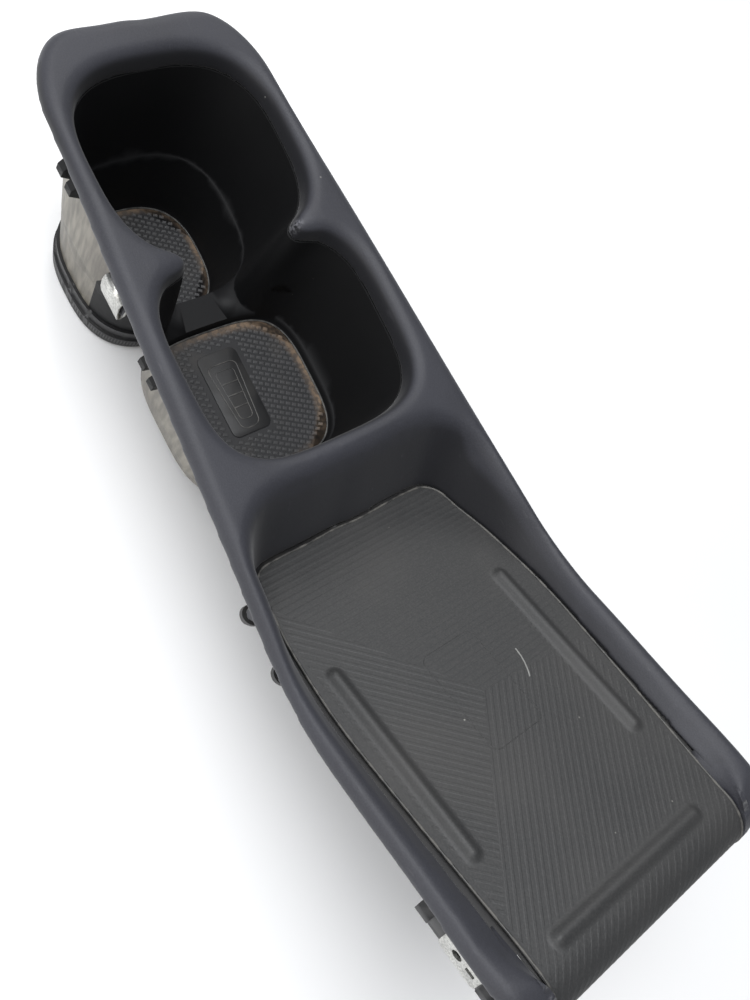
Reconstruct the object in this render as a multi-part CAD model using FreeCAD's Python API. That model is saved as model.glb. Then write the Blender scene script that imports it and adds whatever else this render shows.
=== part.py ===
import FreeCAD, Part
import math
import os

# Cup and phone tray insert of a vehicle centre console, in millimetres.
# While the parts are drawn, x runs from the far edge to the tray lip, y to the side and z up,
# with z = 0 on the rim plane of the cups. At the end everything moves to the centre of the foot.

V = FreeCAD.Vector
os.makedirs("parts", exist_ok=True)

# overall shape of the bezel
LENGTH = 370.0
FAR_HALF_WIDTH = 47.6
BEND_HALF_WIDTH = 66.0
NEAR_HALF_WIDTH = 66.5
FAR_CORNER = (35.0, 22.5)
NEAR_CORNER = 22.0
BEND_X = 251.5
BEND_ANGLE = math.radians(23.5)
BEND_RADIUS = 104.0
RIM_LIP_START = 344.0
SHEET = 2.5
SKIRT = 6.5
SHOULDER_RADIUS = 5.2
MOUTH_RADIUS = 4.5
COLLAR_DEPTH = 10.0
LIP_BOTTOM = 8.0

# cup wells: centre x, half length, half width, roundness power
DEEP_TOP = (54.0, 39.0, 41.5, 2.9)
DEEP_BOTTOM = (59.9, 28.4, 30.6, 2.7)
SHALLOW_TOP = (131.7, 39.3, 46.0, 3.7)
SHALLOW_BOTTOM = (136.1, 33.0, 35.8, 3.6)
DEEP_FLOOR = 92.0
SHALLOW_FLOOR = 63.0
RIDGE_DEPTH = 57.5
NECK_X = 92.7
NECK_HALF_WIDTH = (21.0, 18.0)
NECK_BLEND = 7.0
WALL = 2.2
FLOOR_FILLET = 3.0
STEP = 0.1
MAT = 2.0
MAT_GAP = 0.4
CAP_HEIGHT = 12.0
FIT = 0.1
FOOT_DEPTH = DEEP_FLOOR + 2 * WALL

# phone tray
TRAY_FAR_X = 179.0
TRAY_FLOOR_DROP = 42.2
TRAY_FLOOR_ANGLE = math.radians(25.2)
TRAY_LIP_START = 349.1
TRAY_LIP_RADIUS = 14.0
MAT_END_Z = 13.0
CHANNEL_HALF_WIDTH = 50.3
PAN_SHEET = 2.4
PAN_FLANGE = 3.0
TRAY_OVERRUN = 1.0

# fasteners and clips
SCREW_SHANK = 1.5
SCREW_HEAD = 3.0
CLIP_SHEET = 0.8
END_HOLE_RADIUS = 2.1
SCREW_BITE = 5.5
CAP_SCREWS = [(DEEP_BOTTOM[0] + x, y) for x in (-14.0, 14.0) for y in (-16.0, 16.0)]
PAN_SCREWS = [(x, side * y) for x, y in ((215.0, 52.5), (238.0, 56.5)) for side in (-1, 1)]
END_CLIP_X = 336.0
END_CLIP_SHEET = 1.2
BRACKET_HALF_WIDTH = 63.0


# ---------------------------------------------------------------- outlines and profiles

def closed_curve(points):
    curve = Part.BSplineCurve()
    curve.interpolate(Points=points, PeriodicFlag=True)
    return Part.Wire([curve.toShape()])


def mirrored(half):
    """close a half outline, listed from (far x, 0) round to (near x, 0), over the other side"""
    return half + [(x, -y) for x, y in reversed(half[1:-1])]


def corner_points(x, width, size_x, size_y, steps, near=False):
    """rounded corner that ends on the side line y = width"""
    points = []
    for i in range(steps + 1):
        a = math.pi / 2 * i / steps
        dx, dy = size_x * (1 - math.cos(a)), size_y * (1 - math.sin(a))
        points.append((x - dx if near else x + dx, width - dy))
    return points[::-1] if near else points


def bezel_outline(inset):
    far_x, far_y = FAR_CORNER
    half = [(inset, 0.0), (inset, (FAR_HALF_WIDTH - far_y) * 0.55)]
    half += corner_points(inset, FAR_HALF_WIDTH - inset, far_x - inset, far_y - inset, 6)
    for i in range(1, 4):
        x = far_x + (BEND_X - far_x) * i / 4
        half.append((x, FAR_HALF_WIDTH - inset + (BEND_HALF_WIDTH - FAR_HALF_WIDTH) * i / 4))
    half += [(BEND_X - 6, BEND_HALF_WIDTH - 0.6 - inset), (BEND_X + 35, NEAR_HALF_WIDTH - inset)]
    half += [(LENGTH - NEAR_CORNER - 28, NEAR_HALF_WIDTH - inset)]
    corner = NEAR_CORNER - inset
    half += corner_points(LENGTH - inset, NEAR_HALF_WIDTH - inset, corner, corner, 5, near=True)
    half += [(LENGTH - inset, 26.0), (LENGTH - inset, 0.0)]
    return mirrored(half)


def rim_height(x):
    """height of the bezel's top surface, level over the cups and rising over the tray"""
    reach = BEND_RADIUS * math.tan(BEND_ANGLE / 2)
    if x < BEND_X - reach:
        return 0.0
    arc_end = BEND_X - reach + BEND_RADIUS * math.sin(BEND_ANGLE)
    if x < arc_end:
        run = x - (BEND_X - reach)
        return BEND_RADIUS - math.sqrt(BEND_RADIUS ** 2 - run ** 2)
    return (x - BEND_X) * math.tan(BEND_ANGLE)


def tray_floor_height(x):
    """height of the top of the tray mat"""
    return (x - TRAY_FAR_X) * math.tan(TRAY_FLOOR_ANGLE) - TRAY_FLOOR_DROP


def lip_edges(start, angle, radius, depth, bottom):
    """arc over the lip and the straight drop below it, drawn a depth under the surface"""
    cx = start[0] + radius * math.sin(angle)
    cz = start[1] - radius * math.cos(angle)
    r = radius - depth
    first = V(cx - r * math.sin(angle), 0, cz + r * math.cos(angle))
    turn = (math.pi / 2 - angle) / 2
    middle = V(cx + r * math.sin(turn), 0, cz + r * math.cos(turn))
    last = V(cx + r, 0, cz)
    return first, [Part.Arc(first, middle, last).toShape(),
                   Part.makeLine(last, V(cx + r, 0, bottom))]


def rim_profile(depth):
    reach = BEND_RADIUS * math.tan(BEND_ANGLE / 2)
    cx, cz, r = BEND_X - reach, BEND_RADIUS, BEND_RADIUS + depth
    start = V(-10, 0, -depth)
    level_end = V(cx, 0, -depth)
    half = BEND_ANGLE / 2
    middle = V(cx + r * math.sin(half), 0, cz - r * math.cos(half))
    rise = V(cx + r * math.sin(BEND_ANGLE), 0, cz - r * math.cos(BEND_ANGLE))
    radius = (LENGTH - RIM_LIP_START) / (1 + math.sin(BEND_ANGLE))
    lip_start = (RIM_LIP_START, rim_height(RIM_LIP_START))
    first, lip = lip_edges(lip_start, BEND_ANGLE, radius, depth, LIP_BOTTOM)
    return [Part.makeLine(start, level_end), Part.Arc(level_end, middle, rise).toShape(),
            Part.makeLine(rise, first)] + lip


def floor_profile(depth, bottom=None):
    lip_start = (TRAY_LIP_START, tray_floor_height(TRAY_LIP_START))
    bottom = MAT_END_Z if bottom is None else bottom
    first, lip = lip_edges(lip_start, TRAY_FLOOR_ANGLE, TRAY_LIP_RADIUS, depth, bottom)
    run = 200.0
    start = V(first.x - run * math.cos(TRAY_FLOOR_ANGLE), 0,
              first.z - run * math.sin(TRAY_FLOOR_ANGLE))
    return [Part.makeLine(start, first)] + lip


def band(profile, top, bottom, half_width):
    """sheet between two depths under a profile, across the whole width"""
    upper, lower = profile(top), profile(bottom)
    starts = [edges[0].Vertexes[0].Point for edges in (upper, lower)]
    ends = [edges[-1].Vertexes[-1].Point for edges in (upper, lower)]
    wire = Part.Wire(Part.__sortEdges__(upper + lower + [Part.makeLine(*starts),
                                                         Part.makeLine(*ends)]))
    face = Part.Face(wire)
    face.translate(V(0, -half_width, 0))
    return face.extrude(V(0, 2 * half_width, 0))


def above(profile, depth, half_width, far_x):
    """everything over a profile, up to a high ceiling"""
    edges = profile(depth)
    start, end = edges[0].Vertexes[0].Point, edges[-1].Vertexes[-1].Point
    ceiling = 120.0
    corners = [end, V(LENGTH + 40, 0, end.z), V(LENGTH + 40, 0, ceiling),
               V(start.x, 0, ceiling), start]
    edges += [Part.makeLine(a, b) for a, b in zip(corners, corners[1:])]
    face = Part.Face(Part.Wire(Part.__sortEdges__(edges)))
    face.translate(V(0, -half_width, 0))
    solid = face.extrude(V(0, 2 * half_width, 0))
    return solid.cut(box((-400, far_x), (-200, 200), (-300, 300)))


def box(xs, ys, zs):
    return Part.makeBox(xs[1] - xs[0], ys[1] - ys[0], zs[1] - zs[0], V(xs[0], ys[0], zs[0]))


def prism(outline, low, high):
    wire = closed_curve([V(x, y, low) for x, y in outline])
    return Part.Face(wire).extrude(V(0, 0, high - low))


def solid_through(bands):
    """closed solid from bands of loops; each band shares a loop with the next"""
    faces = []
    for loops, ruled in bands:
        faces += Part.makeLoft([closed_curve(loop) for loop in loops], False, ruled).Faces
    for loop in (bands[0][0][0], bands[-1][0][-1]):
        faces.append(Part.Face(closed_curve(loop)))
    shell = Part.makeShell(faces)
    shell.sewShape()
    solid = Part.makeSolid(shell)
    if solid.Volume < 0:
        solid.reverse()
    return solid


# ---------------------------------------------------------------- cup wells

def between(first, last, share):
    return tuple(a + (b - a) * share for a, b in zip(first, last))


def well_distance(x, y, well, grow):
    centre, half_x, half_y, power = well
    half_x, half_y = half_x + grow, half_y + grow
    u = abs((x - centre) / half_x) ** power + abs(y / half_y) ** power
    return (u ** (1 / power) - 1) * min(half_x, half_y)


def softer(a, b):
    """union of two distances with a rounded inner corner"""
    h = max(NECK_BLEND - abs(a - b), 0.0) / NECK_BLEND
    return min(a, b) - h * h * NECK_BLEND / 4


def loop_around(centre_x, distance, z, count):
    points = []
    for i in range(count):
        a = 2 * math.pi * (i + 0.5) / count
        near, far = 1.0, 110.0
        for _ in range(30):
            r = (near + far) / 2
            if distance(centre_x + r * math.cos(a), r * math.sin(a)) < 0:
                near = r
            else:
                far = r
        points.append(V(centre_x + near * math.cos(a), near * math.sin(a), z))
    return points


def wells_loop(depth, grow):
    """outline of both wells and the neck between them at one depth"""
    deep = between(DEEP_TOP, DEEP_BOTTOM, depth / DEEP_FLOOR)
    shallow = between(SHALLOW_TOP, SHALLOW_BOTTOM, depth / SHALLOW_FLOOR)
    neck = between(NECK_HALF_WIDTH[:1], NECK_HALF_WIDTH[1:], depth / RIDGE_DEPTH)[0]

    def distance(x, y):
        gate = max(abs(y) - neck - grow, abs(x - NECK_X) - 16.0)
        wells = softer(well_distance(x, y, deep, grow), well_distance(x, y, shallow, grow))
        return softer(wells, gate)
    return loop_around(NECK_X, distance, -depth, 72)


def single_loop(top, bottom, floor, depth, grow):
    well = between(top, bottom, depth / floor)
    return loop_around(well[0], lambda x, y: well_distance(x, y, well, grow), -depth, 48)


def wells_solid(grow, flare):
    """the space inside the wells, or with a grow the outside of their walls"""
    bands = []
    if flare:
        first = 12.0
        angles = [math.radians(first + (90 - first) * i / 5) for i in range(6)]
        mouth = [(MOUTH_RADIUS * (1 - math.cos(a)), MOUTH_RADIUS * (1 - math.sin(a)))
                 for a in angles]
        depth, reach = mouth[0]
        wide = reach + (depth + 0.6) / math.tan(math.radians(first))
        bands.append(([wells_loop(-30.0, wide), wells_loop(-0.6, wide),
                       wells_loop(depth, reach)], True))
        bands.append(([wells_loop(d, g) for d, g in mouth], False))
        start = MOUTH_RADIUS
    else:
        start = -3.0
    depths = [start + (RIDGE_DEPTH + grow - start) * i / 3 for i in range(4)]
    bands.append(([wells_loop(d, grow) for d in depths], False))
    space = solid_through(bands)
    for top, bottom, floor in ((DEEP_TOP, DEEP_BOTTOM, DEEP_FLOOR),
                               (SHALLOW_TOP, SHALLOW_BOTTOM, SHALLOW_FLOOR)):
        end = floor + grow
        inner = grow - STEP
        wall = [single_loop(top, bottom, floor, d, inner)
                for d in (40.0, (40.0 + end - FLOOR_FILLET) / 2, end - FLOOR_FILLET)]
        foot = [single_loop(top, bottom, floor, end - FLOOR_FILLET * (1 - math.sin(a)),
                            inner - FLOOR_FILLET * (1 - math.cos(a)))
                for a in (0, math.radians(30), math.radians(60), math.radians(85))]
        foot[-1] = [V(p.x, p.y, -end) for p in foot[-1]]
        space = space.fuse(solid_through([(wall, False), (foot, False)]))
    return space.Solids[0]


# ---------------------------------------------------------------- tray well

def tray_outlines():
    """half outlines of the tray mouth and of the mat, point for point"""
    mouth = [(TRAY_FAR_X, 0.0), (TRAY_FAR_X, 18.0)]
    mouth += corner_points(TRAY_FAR_X, 56.0, 27.0, 22.0, 6)
    mouth += [(223.0, 58.2), (238.0, 60.8), (254.0, 61.2), (280.0, 60.8), (305.0, 60.8),
              (325.0, 61.3), (338.0, 60.6), (346.0, 56.0), (353.0, 51.6), (366.0, 50.6),
              (400.0, 50.6), (402.0, 30.0), (402.0, 0.0)]
    mat = [(201.0, 0.0), (201.0, 18.0)]
    mat += corner_points(201.0, 46.5, 10.0, 10.0, 6)
    mat += [(226.0, 49.6), (240.0, 51.6), (256.0, 53.0), (280.0, 52.8), (303.0, 51.9),
            (322.0, 51.0), (336.0, 50.3), (344.0, 50.0), (352.0, 50.0), (366.0, 50.0),
            (399.0, 50.0), (401.0, 30.0), (401.0, 0.0)]
    return mouth, mat


def on_path(start, bend, end, t):
    """point on a rounded corner between two straights"""
    return start * (1 - t) ** 2 + bend * (2 * t * (1 - t)) + end * t ** 2


def tray_solid(grow, flare):
    """the space above the pan, or with a grow the outside of the tray walls"""
    mouth, mat = tray_outlines()
    drop = MAT / math.cos(TRAY_FLOOR_ANGLE)
    rows = []
    for i, ((mx, my), (fx, fy)) in enumerate(zip(mouth, mat)):
        before, after = mouth[max(i - 1, 0)], mouth[min(i + 1, len(mouth) - 1)]
        out = V(before[1] - after[1], after[0] - before[0], 0)
        if i in (0, len(mouth) - 1):
            out = V(-1 if i == 0 else 1, 0, 0)
        out.normalize()
        top = V(mx, my, rim_height(mx)) + out * grow
        foot = V(fx, fy, 0) + out * (grow + 0.3)
        foot.z = tray_floor_height(foot.x) - drop - grow - TRAY_OVERRUN
        wall = foot - top
        high = top + wall * (0.22 if flare else 0.05)
        slope = V(out.x, out.y, rim_height(mx + out.x) - rim_height(mx))
        edge = top + slope * (MOUTH_RADIUS if flare else 0)
        lead = edge + (slope * 2.5 + V(0, 0, 0.55) if flare else V(0, 0, 6))
        rows.append([V(lead.x, lead.y, 110.0), lead]
                    + [on_path(edge, top, high, t) for t in (0, .25, .5, .75, 1)] + [foot])

    loops = []
    for column in zip(*rows):
        half = list(column)
        loops.append(half + [V(p.x, -p.y, p.z) for p in reversed(half[1:-1])])
    if not flare:
        return solid_through([(loops[:3] + loops[-1:], True)])
    return solid_through([(loops[:3], True), (loops[2:7], False), (loops[6:], True)])


# ---------------------------------------------------------------- fasteners and clips

def screw(x, y, z, length):
    """screw driven upward, its head below the point"""
    head = Part.makeCylinder(SCREW_HEAD, 1.8, V(x, y, z - 1.8))
    return head.fuse(Part.makeCylinder(SCREW_SHANK, length, V(x, y, z - 0.5))).removeSplitter()


def strip(points, thick, xs):
    """bent sheet strip drawn in the y-z plane and as wide as xs"""
    left, right = [], []
    for i, (y, z) in enumerate(points):
        a, b = points[max(i - 1, 0)], points[min(i + 1, len(points) - 1)]
        length = math.hypot(b[0] - a[0], b[1] - a[1])
        ny, nz = (b[1] - a[1]) / length, -(b[0] - a[0]) / length
        left.append(V(xs[0], y + ny * thick / 2, z + nz * thick / 2))
        right.append(V(xs[0], y - ny * thick / 2, z - nz * thick / 2))
    loop = left + right[::-1]
    face = Part.Face(Part.makePolygon(loop + loop[:1]))
    return face.extrude(V(xs[1] - xs[0], 0, 0))


def other_side(shape):
    return shape.mirror(V(0, 0, 0), V(0, 1, 0))


def along_rim(shape):
    """put a shape drawn at the origin under the sloping rim beside the tray lip"""
    shape.rotate(V(0, 0, 0), V(0, 1, 0), -math.degrees(BEND_ANGLE))
    shape.translate(V(END_CLIP_X, 0, rim_height(END_CLIP_X) - SHEET / math.cos(BEND_ANGLE)))
    return shape


# ---------------------------------------------------------------- bezel and shells

def on_rim_edge(edge):
    """true for the edges where the top of the blank meets its side wall"""
    if type(edge.Curve).__name__ == "Line":
        return False
    span = edge.LastParameter - edge.FirstParameter
    for share in (0.1, 0.5, 0.9):
        p = edge.valueAt(edge.FirstParameter + span * share)
        if p.x < RIM_LIP_START and p.z < rim_height(p.x) - 0.05:
            return False
        if p.x >= RIM_LIP_START and p.z < LIP_BOTTOM + 1:
            return False
    top = edge.CenterOfMass
    return abs(top.y) > 8 and not (top.x > RIM_LIP_START and is_lower_lip(top))


def is_lower_lip(point):
    radius = (LENGTH - RIM_LIP_START) / (1 + math.sin(BEND_ANGLE))
    centre_x = LENGTH - radius
    centre_z = rim_height(RIM_LIP_START) - radius * math.cos(BEND_ANGLE)
    return math.hypot(point.x - centre_x, point.z - centre_z) < radius - SKIRT * 0.6


def bezel_blank():
    blank = prism(bezel_outline(0.0), -60, 110).common(band(rim_profile, 0.0, SKIRT, 90))
    blank = blank.Solids[0]
    blank = blank.makeFillet(SHOULDER_RADIUS, [e for e in blank.Edges if on_rim_edge(e)])
    hollow = prism(bezel_outline(SHEET), -60, 110)
    return blank.cut(hollow.common(band(rim_profile, SHEET, SKIRT + 3, 90)))


def clip_tab():
    """tab under the bezel that the spring clip grips"""
    return box((NECK_X - 6, NECK_X + 7), (-49.6, -48.0), (-20, -1.5))


def make_bezel(wells_space, wells_outside, tray_space, tray_outside):
    bezel = bezel_blank()
    collar = wells_outside.common(box((-10, 260), (-80, 80), (-COLLAR_DEPTH, -1.2)))
    walls = tray_outside.cut(above(rim_profile, 1.2, 100, -20))
    walls = walls.common(above(floor_profile, MAT - FIT / 2, 100, 0))
    tab = clip_tab()
    posts = [boss(x, y) for x, y in PAN_SCREWS]
    for piece in [collar, walls, tab, other_side(tab)] + posts:
        bezel = bezel.fuse(piece)
    lip = above(floor_profile, MAT + PAN_SHEET + FIT, CHANNEL_HALF_WIDTH, RIM_LIP_START)
    bezel = bezel.cut(wells_space).cut(tray_space).cut(lip)
    for x, y in PAN_SCREWS:
        bezel = bezel.cut(Part.makeCylinder(SCREW_SHANK, SCREW_BITE, V(x, y, pan_foot(x))))
    return bezel


def hook_teeth():
    """pairs of teeth on the bin that catch the console"""
    teeth = []
    for x, reach in ((44.0, 48.6), (51.5, 49.2), (118.0, 54.4), (125.5, 55.0)):
        points = [(-38.0, -10.3), (-reach + 4.2, -10.3), (-reach + 1.5, -7.5),
                  (-reach, -9.5), (-reach, -13.0), (-38.0, -21.0)]
        loop = [V(x, y, z) for y, z in points]
        face = Part.Face(Part.makePolygon(loop + loop[:1]))
        teeth.append(face.extrude(V(3.8, 0, 0)))
    return teeth + [other_side(t) for t in teeth]


def pan_foot(x):
    """height of the underside of the tray pan"""
    return tray_floor_height(x) - (MAT + PAN_SHEET) / math.cos(TRAY_FLOOR_ANGLE)


def boss(x, y):
    """post from the pan flange up to the outside of the tray wall"""
    post = Part.makeCylinder(3.4, 60, V(x, y, -40))
    post = post.cut(above(rim_profile, SHEET - 0.4, 100, -20))
    return post.common(above(floor_profile, MAT - FIT / 2, 100, 0))


def make_bin(wells_space, wells_outside):
    shell = wells_outside.cut(wells_space)
    shell = shell.common(box((-10, 260), (-80, 80), (-120, -COLLAR_DEPTH)))
    for tooth in hook_teeth():
        shell = shell.fuse(tooth)
    shell = shell.cut(wells_space)
    for x, y in CAP_SCREWS:
        shell = shell.cut(Part.makeCylinder(SCREW_SHANK, 12, V(x, y, -DEEP_FLOOR - 8)))
    return shell


def make_deep_cap(wells_outside):
    """stepped cap round the foot of the deep well"""
    foot = DEEP_FLOOR + WALL
    lower = (foot - 6.0, foot + WALL - 1.2)

    def ring(depth, grow):
        return single_loop(DEEP_TOP, DEEP_BOTTOM, DEEP_FLOOR, depth, grow)
    cap = solid_through([([ring(foot - CAP_HEIGHT, 3.4), ring(lower[0], 3.4)], True),
                         ([ring(lower[0], 3.4), ring(lower[0] + 0.3, 4.4)], True),
                         ([ring(lower[0] + 0.3, 4.4), ring(lower[1], 4.4)], True),
                         ([ring(lower[1], 4.4), ring(foot + WALL, 3.2)], True)])
    cap = cap.cut(wells_outside)
    for x, y in CAP_SCREWS:
        cap = cap.cut(Part.makeCylinder(SCREW_SHANK, 12, V(x, y, -foot - 8)))
        cap = cap.cut(Part.makeCylinder(SCREW_HEAD + 0.2, 5, V(x, y, -foot - WALL - 3.4)))
    return cap


def make_cup_mat(top, bottom, floor):
    rows = ((MAT_GAP, -3.0), (0.8, -1.8), (1.2, -1.3), (MAT, -0.8))
    loops = [single_loop(top, bottom, floor, floor, grow) for _, grow in rows]
    for loop, (height, _) in zip(loops, rows):
        for p in loop:
            p.z = -floor + height
    return solid_through([(loops, True)])


def tray_plan(grow):
    """full outline of the mat, or of the pan with a flange grown around it"""
    mat = tray_outlines()[1]
    half = []
    for i, (x, y) in enumerate(mat):
        before, after = mat[max(i - 1, 0)], mat[min(i + 1, len(mat) - 1)]
        out = V(before[1] - after[1], after[0] - before[0], 0)
        if i in (0, len(mat) - 1):
            out = V(-1 if i == 0 else 1, 0, 0)
        out.normalize()
        half.append((x + out.x * grow, y + out.y * grow))
    return mirrored(half)


def make_tray_pan():
    pan = band(floor_profile, MAT, MAT + PAN_SHEET, 90)
    pan = pan.common(prism(tray_plan(PAN_FLANGE), -80, 120))
    for x, y in PAN_SCREWS:
        ear = Part.makeCylinder(4.2, 60, V(x, y, -40))
        pan = pan.fuse(ear.common(band(floor_profile, MAT, MAT + PAN_SHEET, 90)))
        pan = pan.cut(Part.makeCylinder(SCREW_SHANK, 120, V(x, y, -60)))
    beside_channel = box((RIM_LIP_START - 1, LENGTH + 40), (CHANNEL_HALF_WIDTH - FIT, 90), (-80, 120))
    return pan.cut(beside_channel).cut(other_side(beside_channel))


def make_tray_mat():
    sheet = band(lambda depth: floor_profile(depth, MAT_END_Z + MAT_GAP), 0.0, MAT - MAT_GAP, 90)
    return sheet.common(prism(tray_plan(-0.2), -80, 120))


def make_spring_clip():
    """bent spring on the tab between the wells, on the -y side"""
    points = [(-47.55, -7.5), (-47.55, -20.6), (-48.7, -21.9), (-50.3, -21.4), (-51.6, -17.0),
              (-52.6, -11.0), (-52.2, -7.8), (-50.6, -7.4)]
    return strip(points, CLIP_SHEET, (NECK_X - 5.5, NECK_X + 6.5))


def make_end_bracket():
    """plate hanging under the rim beside the lip, with a tooth at each end"""
    face = -BRACKET_HALF_WIDTH
    plate = box((-24, 12), (face, face + 2.0), (-19, 0.0))
    for x in (-24.0, 6.0):
        loop = [V(x, face + 1, -6), V(x, face - 2.4, -10), V(x, face - 2.4, -14), V(x, face + 1, -18)]
        plate = plate.fuse(Part.Face(Part.makePolygon(loop + loop[:1])).extrude(V(6, 0, 0)))
    plate = plate.cut(Part.makeCylinder(END_HOLE_RADIUS + 1.4, 9, V(-5, face - 4, -12), V(0, 1, 0)))
    plate = plate.cut(box((-1.2, 3.8), (face - 4, face + 6), (-13.5, -10.5)))
    return along_rim(plate)


def make_end_clip():
    """metal plate on the bracket, with a round hole and a slot"""
    face = -BRACKET_HALF_WIDTH
    plate = box((-12, 5.6), (face - END_CLIP_SHEET, face), (-18, -6.2))
    plate = plate.makeFillet(2.0, [e for e in plate.Edges if e.BoundBox.YLength > 1
                                   and e.BoundBox.XLength < 0.1 and e.BoundBox.ZLength < 0.1])
    plate = plate.cut(Part.makeCylinder(END_HOLE_RADIUS, 9, V(-5, face - 4, -12), V(0, 1, 0)))
    slot = box((-0.6, 3.2), (face - 4, face + 6), (-13.1, -10.9))
    return along_rim(plate.cut(slot))


def build():
    wells_space, wells_outside = wells_solid(0.0, True), wells_solid(WALL, False)
    tray_space, tray_outside = tray_solid(0.0, True), tray_solid(WALL, False)
    nodes = {
        "bezel": make_bezel(wells_space, wells_outside, tray_space, tray_outside),
        "cup_bin": make_bin(wells_space, wells_outside),
        "deep_well_cap": make_deep_cap(wells_outside),
        "tray_pan": make_tray_pan(),
        "deep_cup_mat": make_cup_mat(DEEP_TOP, DEEP_BOTTOM, DEEP_FLOOR),
        "shallow_cup_mat": make_cup_mat(SHALLOW_TOP, SHALLOW_BOTTOM, SHALLOW_FLOOR),
        "tray_mat": make_tray_mat(),
    }
    for name, shape in (("spring_clip", make_spring_clip()), ("end_bracket", make_end_bracket()),
                        ("end_clip", make_end_clip())):
        nodes["left_" + name] = shape
        nodes["right_" + name] = other_side(shape)
    foot = DEEP_FLOOR + WALL
    nodes["cap_screws"] = Part.makeCompound([screw(x, y, -foot - 0.6, 2.4) for x, y in CAP_SCREWS])
    nodes["pan_screws"] = Part.makeCompound([screw(x, y, pan_foot(x) - 1.6, SCREW_BITE)
                                             for x, y in PAN_SCREWS])
    return nodes


def main():
    for name, shape in build().items():
        shape.translate(V(-LENGTH / 2, 0, FOOT_DEPTH))
        if len(shape.Solids) == 1:
            shape = shape.Solids[0]
        print(name, len(shape.Solids), shape.isValid(), round(shape.Volume), shape.BoundBox)
        shape.exportStep("parts/" + name + ".step")


main()
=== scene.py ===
import math
import bpy
from mathutils import Matrix, Vector


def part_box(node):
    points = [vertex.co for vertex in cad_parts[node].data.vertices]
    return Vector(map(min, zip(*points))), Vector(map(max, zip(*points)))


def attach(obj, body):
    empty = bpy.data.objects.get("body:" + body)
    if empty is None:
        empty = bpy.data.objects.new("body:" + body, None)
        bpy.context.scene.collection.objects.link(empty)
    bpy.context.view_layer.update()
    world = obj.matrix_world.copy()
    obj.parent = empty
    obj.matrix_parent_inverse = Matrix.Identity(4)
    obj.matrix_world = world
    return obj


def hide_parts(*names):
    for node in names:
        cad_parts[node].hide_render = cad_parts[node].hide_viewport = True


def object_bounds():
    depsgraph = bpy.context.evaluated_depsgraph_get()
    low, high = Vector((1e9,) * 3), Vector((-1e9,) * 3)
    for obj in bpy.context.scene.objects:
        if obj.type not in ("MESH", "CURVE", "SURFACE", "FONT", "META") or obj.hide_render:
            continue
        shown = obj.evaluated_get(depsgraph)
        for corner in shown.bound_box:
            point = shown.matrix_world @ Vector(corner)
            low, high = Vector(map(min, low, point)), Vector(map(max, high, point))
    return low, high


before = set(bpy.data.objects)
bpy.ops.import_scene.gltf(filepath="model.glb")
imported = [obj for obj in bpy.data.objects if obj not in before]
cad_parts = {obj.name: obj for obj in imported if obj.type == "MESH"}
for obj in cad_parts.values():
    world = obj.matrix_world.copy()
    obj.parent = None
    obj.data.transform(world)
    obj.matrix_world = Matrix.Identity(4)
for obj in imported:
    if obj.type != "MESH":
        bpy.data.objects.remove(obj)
cad_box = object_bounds()

# Looks of a console insert with two cup wells and a phone tray. Lengths here are in metres.
MM = 0.001

# tray mat: slope, radius over the lip, ribs and stripes
TRAY_ANGLE = math.radians(25.2)
LIP_RADIUS = 14 * MM
TRAY_HEART = 84 * MM
RIB_HEIGHT = 2.3 * MM
RIB_MIDDLE = 87.7 * MM
RIB_OFFSET = 41.6 * MM
RIB_SHIFT = -1.6 * MM
RIB_LENGTH = 88 * MM
RIB_WIDTH = 6.6 * MM
CROSS_RIB_MIDDLE = (160.6 * MM, -2.4 * MM)
CROSS_RIB_LENGTH = 84 * MM
STRIPE_PITCH = 2.7 * MM
STRIPE_WIDTH = 2.0 * MM
STRIPE_HEIGHT = 0.075 * MM
STRIPE_MARGIN = 1.9 * MM
# distance along the mat and half width there, in millimetres
MAT_OUTLINE = ((0.0, 46.5), (61.0, 53.0), (162.0, 50.2), (205.0, 50.0))
SECTOR_EDGES = (math.radians(-37.6), math.radians(85), math.radians(215))
STRIPE_TURNS = (math.radians(-36.6), math.radians(90), math.radians(42.6))

# bezel's moulded skin
VOXEL = 0.9 * MM
SKIN_SMOOTHING = 14
SKIN_FACES = 90000
CHANNEL_REACH = ((0.148, -1), (0.184, 1))
CHANNEL_WALL = (0.0480, 0.0535)

# cup mats: one raised dash and the lattice that it repeats on
DASH_SIZE = (2.3 * MM, 1.55 * MM, 0.5 * MM)
DASH_PITCH = 2.75 * MM
DASH_ROW = 2.3 * MM
DASH_TURN = math.radians(60)
MAT_BORDER = 2.3 * MM
PAD_SIZE = (37 * MM, 19 * MM)
PAD_CENTRE = (-53.5 * MM, -1.5 * MM)


# ------------------------------------------------------------------ small modelling helpers

def let_go():
    """nothing selected, and object mode"""
    if bpy.context.object and bpy.context.object.mode != "OBJECT":
        bpy.ops.object.mode_set(mode="OBJECT")
    bpy.ops.object.select_all(action="DESELECT")


def take(piece):
    """make a piece the only one selected"""
    let_go()
    piece.select_set(True)
    bpy.context.view_layer.objects.active = piece
    return piece


def named(name):
    """the object just added, under its own name"""
    piece = bpy.context.object
    piece.name = name
    piece.data.name = name
    return piece


def settle(piece):
    """put a piece's place into its mesh"""
    take(piece)
    bpy.ops.object.transform_apply(location=True, rotation=True, scale=True)
    return piece


def edit(piece, mode="VERT"):
    take(piece)
    bpy.ops.object.mode_set(mode="EDIT")
    bpy.ops.mesh.select_mode(type=mode)
    bpy.ops.mesh.select_all(action="DESELECT")
    bpy.ops.object.mode_set(mode="OBJECT")


def choose(piece, parts, test):
    """select the vertices, edges or polygons that pass a test, and go to edit mode"""
    for part in parts:
        part.select = bool(test(part))
    bpy.ops.object.mode_set(mode="EDIT")


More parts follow.
